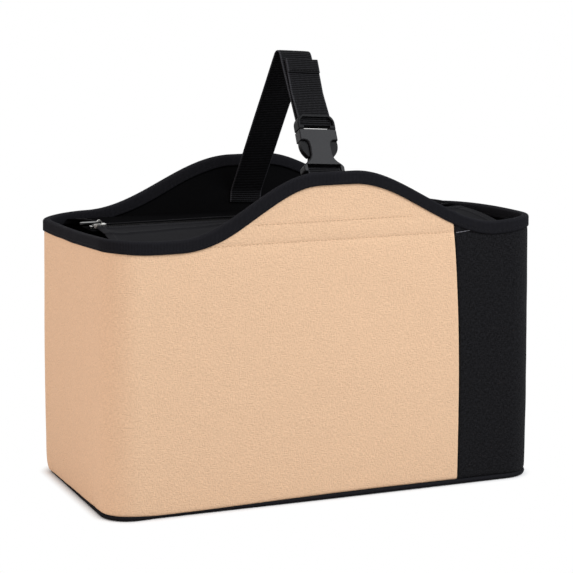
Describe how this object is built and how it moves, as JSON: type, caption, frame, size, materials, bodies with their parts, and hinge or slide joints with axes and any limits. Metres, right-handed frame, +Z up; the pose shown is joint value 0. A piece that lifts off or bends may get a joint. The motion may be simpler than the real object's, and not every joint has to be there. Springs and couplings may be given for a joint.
{
  "type": "stroller organizer",
  "caption": "Soft open-rimmed organizer bag with stiffened walls, a sunken zipped lid and a webbing hanging strap closed by a side-release buckle.",
  "frame": {"origin": "middle of the underside of the base", "axes": "+X along the bag's length, +Z up, the front wall towards -Y"},
  "size_m": [0.3506, 0.184, 0.3315],
  "materials": {
    "tan_felt": "matt felted knit, faintly flecked",
    "black_fabric": "matt black felted weave",
    "lining": "plain charcoal polyester",
    "lid_fabric": "smooth charcoal polyester",
    "binding": "fine ribbed binding tape",
    "foam": "closed-cell foam sheet",
    "board": "smooth plastic board",
    "zip_tape": "woven zip tape",
    "zip_coil": "nylon coil",
    "zip_metal": "nickel plate",
    "webbing": "ribbed webbing",
    "buckle": "satin moulded acetal"
  },
  "bodies": {
    "bag": {"tan_shell_panel": "tan_felt", "black_shell_panel": "black_fabric", "front_foam": "foam", "back_foam": "foam", "left_end_foam": "foam", "right_end_foam": "foam", "front_seam_allowance": "black_fabric", "back_seam_allowance": "black_fabric", "wall_lining": "lining", "rim_binding": "binding", "base_panel": "black_fabric", "base_board": "board", "base_lining": "lining", "base_piping": "binding", "strap_back_leg": "webbing", "front_anchor_webbing": "webbing", "buckle_socket": "buckle"},
    "lid_front": {"lid_front_flap": "lid_fabric", "zip_tape_front": "zip_tape", "zip_teeth_front": "zip_coil", "zip_stop_front": "zip_metal"},
    "lid_back": {"lid_back_flap": "lid_fabric", "zip_tape_back": "zip_tape", "zip_teeth_back": "zip_coil", "zip_stop_back": "zip_metal"},
    "zip_slider": {"zip_slider": "zip_metal"},
    "zip_pull": {"zip_pull": "zip_metal"},
    "buckle_plug": {"buckle_plug": "buckle", "strap_front_leg": "webbing", "strap_tail": "webbing"},
    "prong_left": {"prong_left": "buckle"},
    "prong_right": {"prong_right": "buckle"}
  },
  "joints": [
    {"name": "lid_front_lift", "type": "hinge", "parent": "bag", "child": "lid_front", "pos_m": [0, -0.0853, 0.1982], "axis": [1, 0, 0], "range_deg": [0, 50]},
    {"name": "lid_back_lift", "type": "hinge", "parent": "bag", "child": "lid_back", "pos_m": [0, 0.0853, 0.1982], "axis": [-1, 0, 0], "range_deg": [0, 45]},
    {"name": "zip_slide", "type": "slide", "parent": "lid_back", "child": "zip_slider", "axis": [1, 0, 0], "range_m": [0, 0.274]},
    {"name": "zip_pull_flip", "type": "hinge", "parent": "zip_slider", "child": "zip_pull", "pos_m": [-0.1505, 0, 0.2069], "axis": [0, 1, 0], "range_deg": [0, 170]},
    {"name": "buckle_release", "type": "slide", "parent": "bag", "child": "buckle_plug", "axis": [0.0531, 0.5344, 0.8436], "range_m": [0, 0.024], "deforming": ["prong_left", "prong_right"]},
    {"name": "prong_left_press", "type": "hinge", "parent": "buckle_plug", "child": "prong_left", "pos_m": [-0.0043, -0.04814, 0.27072], "axis": [0.0336, -0.8453, 0.5333], "range_deg": [0, 22], "stiffness_Nm_per_rad": 0.05},
    {"name": "prong_right_press", "type": "hinge", "parent": "buckle_plug", "child": "prong_right", "pos_m": [0.01426, -0.04814, 0.26955], "axis": [-0.0336, 0.8453, -0.5333], "range_deg": [0, 22], "stiffness_Nm_per_rad": 0.05}
  ],
  "couplings": [
    {"joint": "prong_right_press", "follows": "prong_left_press", "ratio": 1}
  ]
}
